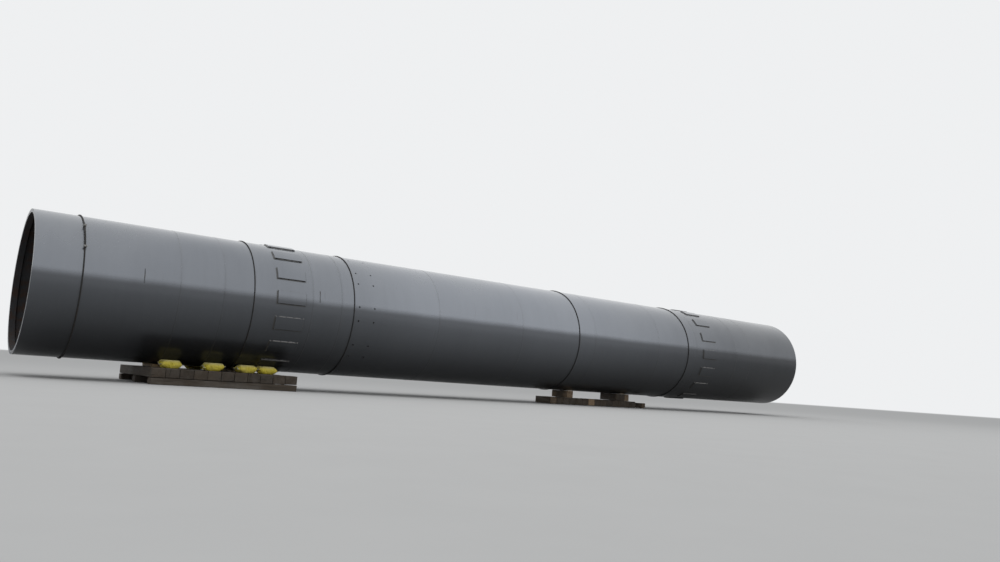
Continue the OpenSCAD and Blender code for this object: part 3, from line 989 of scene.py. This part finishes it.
def blow_up(bag, centre, half, seed):
    """Fills a bag by a simulation of its cloth under pressure, held at its two sewn ends."""
    pinned = [v.index for v in bag.data.vertices if abs(v.co.x - centre.x) > half.x * SEWN_FROM]
    bag.vertex_groups.new(name="hem").add(pinned, 1.0, "REPLACE")
    cloth = bag.modifiers.new("cloth", "CLOTH")
    cloth.settings.quality = 5
    cloth.settings.use_pressure = True
    cloth.settings.uniform_pressure_force = bpy.context.scene.kiln_bags.pressure
    cloth.settings.vertex_group_mass = "hem"
    cloth.settings.shrink_min = -random.Random(seed).uniform(0.06, 0.10)
    cloth.settings.tension_stiffness = 12
    cloth.settings.bending_stiffness = 0.2
    cloth.settings.effector_weights.gravity = 0
    cloth.point_cache.frame_start = 1
    cloth.point_cache.frame_end = CLOTH_FRAMES
    for number in range(1, CLOTH_FRAMES + 1):
        bpy.context.scene.frame_set(number)
    pick(bag)
    bpy.ops.object.modifier_apply(modifier="cloth")
    bpy.context.scene.frame_set(1)


def fill_bag(node, seed, phase):
    """A filled bag in a node's place, which rests flat on the deck."""
    bags = bpy.context.scene.kiln_bags
    low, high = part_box(node)
    centre = (low + high) / 2
    half = (high - low) / 2
    bag = bag_blank(centre, half, phase)
    bag.data.remesh_voxel_size = bags.voxel
    pick(bag)
    bpy.ops.object.voxel_remesh()
    start = np.array([v.co for v in bag.data.vertices])
    blow_up(bag, centre, half, seed)
    moved = np.array([v.co for v in bag.data.vertices]) - start
    far = np.linalg.norm(moved, axis=1, keepdims=True)
    moved *= np.minimum(1, bags.cap / np.maximum(far, 1e-9))
    final = start + moved
    final[:, 2] = np.clip(final[:, 2], low.z + 0.0005, high.z - 0.001)
    for vertex, co in zip(bag.data.vertices, final):
        vertex.co = co
    modify(bag, "SUBSURF", levels=1, render_levels=1)
    smooth(bag, 180)
    return bag


def bag_hem(bag, node, side, phase):
    """The folded hem at one end of a bag, and the two rows of stitches along it."""
    hem_width = bpy.context.scene.kiln_bags.hem_width
    centre, size = extent(node)
    end = [v.co for v in bag.data.vertices if (v.co.x - centre.x) * side > size.x / 2 * (SEWN_FROM - 0.01)]
    width = (max(co.y for co in end) - min(co.y for co in end)) * 0.98
    out = size.x / 2 - hem_width / 2
    hem = primitive(bpy.ops.mesh.primitive_grid_add, x_subdivisions=4, y_subdivisions=28, size=1)
    hem.scale = (hem_width, width, 1)
    settle(hem)
    modify(hem, "SOLIDIFY", thickness=HEM_THICKNESS, offset=0)
    modify(hem, "BEVEL", width=HEM_THICKNESS / 4, segments=1, limit_method="ANGLE")
    above = HEM_THICKNESS / 2 + 0.0002
    rows = []
    for row in (-0.25, 0.25):
        stitch = primitive(bpy.ops.mesh.primitive_ico_sphere_add, subdivisions=1, radius=THREAD_R,
                           scale=(1, 3.2, 1), location=(row * hem_width, 0.008 - width / 2, above))
        modify(stitch, "ARRAY", count=int((width - 0.010) / STITCH_PITCH), use_relative_offset=False,
               use_constant_offset=True, constant_offset_displace=(0, STITCH_PITCH, 0))
        rows.append(stitch)
    rows = joined(rows, "rows")
    for piece in (hem, rows):
        for vertex in piece.data.vertices:
            x, y, z = vertex.co
            rise = sway(2 * y / width, side, phase) * (1 + x * side * 12)
            ruffle = 0.004 * math.sin(y * 110 + phase) * (0.5 + x * side / hem_width)
            vertex.co = (centre.x + side * out + x, centre.y + y, centre.z + z + rise + ruffle)
        smooth(piece)
    return hem, rows


class KILN_OT_stage(bpy.types.Operator):
    """Sets up the camera, the pale floor, the backdrop and the soft light"""
    bl_idname = "kiln.stage"
    bl_label = "Stage"

    def execute(self, context):
        stage = context.scene.kiln_stage
        context.scene.view_settings.view_transform = "Standard"
        self.camera(context, stage)
        self.floor(stage)
        self.world(context, stage)
        self.lamp(context, stage)
        return {"FINISHED"}

    def camera(self, context, stage):
        """The camera, turned, tipped and leant as the photograph was taken."""
        data = bpy.data.cameras.new("camera")
        data.sensor_width = 36
        data.lens = stage.lens
        data.clip_end = 1000
        camera = bpy.data.objects.new("camera", data)
        context.scene.collection.objects.link(camera)
        camera.matrix_world = (Matrix.Translation(stage.camera_place)
                               @ Matrix.Rotation(-stage.heading, 4, "Z")
                               @ Matrix.Rotation(math.pi / 2 + stage.pitch, 4, "X")
                               @ Matrix.Rotation(stage.roll, 4, "Z"))
        context.scene.camera = camera

    def floor(self, stage):
        """A wide pale floor that passes into the backdrop far away."""
        floor = primitive(bpy.ops.mesh.primitive_circle_add, vertices=96, radius=FLOOR_R, fill_type="NGON")
        floor.name = "floor"
        finish = Finish("pale_floor", "ShaderNodeMixShader")
        x, y, z = finish.split(finish.place())
        away = ((x * x + y * y) ** 0.5).step(*FLOOR_FADE)
        grain = finish.noise(finish.place(), 1.6, 6, 0.6)
        seen = finish.seen()
        pale = finish.scaled(stage.floor, 0.97 + grain * 0.06)
        colour = finish.mix(seen, [part * FLOOR_GLOW for part in stage.floor], pale)
        near = finish.node("ShaderNodeBsdfDiffuse", {}, {"Color": colour})
        far = finish.node("ShaderNodeEmission", {}, {"Color": stage.backdrop})
        floor.data.materials.append(finish.blend(away * seen, near, far))

    def world(self, context, stage):
        """Soft light from all round, with a pale backdrop where it is seen."""
        finish = Finish("studio", "ShaderNodeMixShader", world=True)
        light = finish.node("ShaderNodeBackground", {}, {"Color": stage.sky, "Strength": stage.sky_light})
        shown = finish.node("ShaderNodeBackground", {}, {"Color": stage.backdrop})
        context.scene.world = finish.blend(finish.seen(), light, shown)

    def lamp(self, context, stage):
        """A wide soft lamp above and in front, which leaves no glint of its own."""
        data = bpy.data.lights.new("soft_lamp", "AREA")
        data.shape = "RECTANGLE"
        data.size, data.size_y = LAMP_SIZE
        data.energy = stage.lamp_power
        lamp = bpy.data.objects.new("soft_lamp", data)
        lamp.location = stage.lamp_place
        lamp.rotation_euler = (-stage.lamp_tilt, 0, 0)
        lamp.visible_glossy = False
        context.scene.collection.objects.link(lamp)


class KILN_OT_paint(bpy.types.Operator):
    """Paints the shell, its end rings and its tyre pads"""
    bl_idname = "kiln.paint"
    bl_label = "Paint"

    def execute(self, context):
        self.cover([*COURSES, *END_RINGS], paint_finish("shell_paint"))
        self.cover(PAD_TURNS, paint_finish("pad_paint", inside=False))
        return {"FINISHED"}

    def cover(self, names, material):
        """Gives every slot of the nodes one material."""
        for name in names:
            for slot in frame["nodes"][name].material_slots:
                slot.material = material


class KILN_OT_welds(bpy.types.Operator):
    """Lays the weld beads between the courses, along them and round the rings and pads"""
    bl_idname = "kiln.welds"
    bl_label = "Weld beads"

    def execute(self, context):
        welds = context.scene.kiln_welds
        round_paint = paint_finish("round_bead_paint", ripple="round")
        along_paint = paint_finish("along_bead_paint", ripple="along")
        self.seams(welds, round_paint)
        self.long_seams(welds, along_paint)
        self.pads(welds, round_paint)
        self.scars()
        return {"FINISHED"}

    def seams(self, welds, paint):
        """Beads right round between the courses, outside and inside, and behind the end rings."""
        outer, inner = [], []
        for i, x in enumerate(SEAMS):
            inner_r = (inner_radius(COURSES[i]) + inner_radius(COURSES[i + 1])) / 2
            outer.append(bead_ring(x, SHELL_R - BEAD_SINK, welds.seam_width, welds.seam_height, i))
            inner.append(bead_ring(x, inner_r, welds.seam_width, welds.seam_height * 2, i + 20))
        dress(outer, "outer_round_welds", paint)
        dress(inner, "inner_round_welds", paint)
        leg = welds.fillet_leg
        behind = [bead_ring(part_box(name)[side].x, inner_radius(COURSES[0]), leg * 2, leg, 30)
                  for name, side in END_RINGS.items()]
        dress(behind, "end_ring_welds", paint)

    def long_seams(self, welds, paint):
        """One bead along each course, outside and inside, turned from course to course."""
        outer, inner = [], []
        for i, (name, turn) in enumerate(zip(COURSES, SEAM_TURNS)):
            centre, size = extent(name)
            for beads, radius in ((outer, SHELL_R - BEAD_SINK), (inner, inner_radius(name))):
                bead = flat_bead(size.x - 2 * BEAD_END_GAP, welds.seam_width, welds.seam_height,
                                 int(size.x / BEAD_STEP), i + 40)
                beads.append(wrapped(bead, centre.x, radius, math.radians(turn)))
        dress(outer, "outer_long_welds", paint)
        dress(inner, "inner_long_welds", paint)

    def pads(self, welds, paint):
        """The welds round every tyre pad."""
        for name, turn in PAD_TURNS.items():
            centre, size = extent(name)
            pattern = pad_fillet(size.x, PAD_WIDTH, welds, 7)
            rounds = [wrapped(copy_of(pattern), centre.x, SHELL_R, turn + TAU * i / PAD_COUNT)
                      for i in range(PAD_COUNT)]
            bpy.data.objects.remove(pattern)
            dress(rounds, name.replace("tyre_pads", "pad_welds"), paint)

    def scars(self):
        """Low burnt ridges where lifting lugs were cut off."""
        scars = []
        for i, (x, low, high) in enumerate(LUG_SCARS):
            ridge = flat_bead(math.radians(high - low) * SHELL_R, SCAR_WIDTH, SCAR_HEIGHT, 12, i + 90)
            with editing(ridge):
                bpy.ops.transform.rotate(value=math.pi / 2, orient_axis="Z", center_override=(0, 0, 0))
            scars.append(wrapped(ridge, x, SHELL_R - SCAR_SINK, math.radians(low + high) / 2))
        dress(scars, "lug_scars", scar_finish())


class KILN_OT_ropes(bpy.types.Operator):
    """Lays the five wire ropes round the shell and clamps their ends with clips"""
    bl_idname = "kiln.ropes"
    bl_label = "Ropes"

    def execute(self, context):
        ropes = context.scene.kiln_ropes
        wire = wire_finish()
        iron = clip_finish()
        for name, (start, spread, count) in zip(ROPES, ROPE_ENDS):
            centre, size = extent(name)
            rope_d = size.x
            radius = (size.z - rope_d) / 2
            out = Matrix.Translation((0, -radius, 0))
            rope = hang_on(laid_rope(rope_d, radius, ropes), centre.x, start, quarter("Y") @ out)
            dress([rope], name + "_strands", wire, name)
            clips = [hang_on(rope_clip(rope_d), centre.x, start - CLIP_BACK - spread * i,
                             out @ quarter("X") @ quarter("Z")) for i in range(count)]
            dress(clips, name + "_clips", iron)
        return {"FINISHED"}


class KILN_OT_timbers(bpy.types.Operator):
    """Shapes the sawn timbers, boards and chocks that hold the shell"""
    bl_idname = "kiln.timbers"
    bl_label = "Timbers"

    def execute(self, context):
        woods = {slot: timber_finish(slot, slot == "new_timber") for slot in ("old_timber", "new_timber")}
        for node, (axis, seed, slot) in TIMBERS.items():
            dress(worn_timbers(node, axis, seed), node + "_wood", woods[slot], node)
        return {"FINISHED"}


class KILN_OT_bags(bpy.types.Operator):
    """Fills the eight sandbags by cloth simulation and sews their hems"""
    bl_idname = "kiln.bags"
    bl_label = "Sandbags"

    def execute(self, context):
        cloth = cloth_finish()
        hems, threads = [], []
        for number, (front, rear) in enumerate(zip(FRONT_BAGS, REAR_BAGS)):
            phase = 1.9 * number + 0.6
            parts = [fill_bag(front, number + 5, phase)]
            for side in (-1, 1):
                parts += bag_hem(parts[0], front, side, phase)
            others = [self.repeated(part, extent(front)[0], extent(rear)[0]) for part in parts]
            for pieces, node in ((parts, front), (others, rear)):
                centre = extent(node)[0]
                for piece in pieces:
                    store(piece.data, "cloth_at", [v.co - centre for v in piece.data.vertices])
                bag = dress(pieces[:1], node + "_cloth", cloth, node)
                hems += pieces[1::2]
                threads += pieces[2::2]
        dress(hems, "sandbag_hems", cloth_finish("pale_hem_cloth", hem=True))
        dress(threads, "sandbag_stitches", thread_finish())
        return {"FINISHED"}

    def repeated(self, part, from_place, to_place):
        """A copy turned half round and moved from one bag's middle to another's."""
        other = copy_of(part)
        other.matrix_world = (Matrix.Translation(to_place) @ Matrix.Rotation(math.pi, 4, "Z")
                              @ Matrix.Translation(-from_place))
        return settle(other)


OPERATORS = [KILN_OT_stage, KILN_OT_paint, KILN_OT_welds, KILN_OT_ropes, KILN_OT_timbers, KILN_OT_bags]


class KILN_PT_pieces(bpy.types.Panel):
    """Lists what makes the kiln's finishes and pieces"""
    bl_idname = "KILN_PT_pieces"
    bl_label = "Rotary Kiln Shell"
    bl_space_type = "VIEW_3D"
    bl_region_type = "UI"
    bl_category = "Kiln"

    def draw(self, context):
        for operator in OPERATORS:
            self.layout.operator(operator.bl_idname)
        for name, group in GROUPS.items():
            box = self.layout.box()
            box.label(text=group.__doc__)
            for key in group.__annotations__:
                box.prop(getattr(context.scene, name), key)


CLASSES = [*GROUPS.values(), *OPERATORS, KILN_PT_pieces]


def register():
    """Registers the classes and their settings."""
    for item in CLASSES:
        bpy.utils.register_class(item)
    for name, group in GROUPS.items():
        setattr(bpy.types.Scene, name, bpy.props.PointerProperty(type=group))


def unregister():
    """Removes the settings and the classes."""
    for name in GROUPS:
        delattr(bpy.types.Scene, name)
    for item in reversed(CLASSES):
        bpy.utils.unregister_class(item)


def main():
    """Makes every piece in order."""
    register()
    bpy.ops.kiln.stage()
    bpy.ops.kiln.paint()
    bpy.ops.kiln.welds()
    bpy.ops.kiln.ropes()
    bpy.ops.kiln.timbers()
    bpy.ops.kiln.bags()


if __name__ == "__main__":
    main()
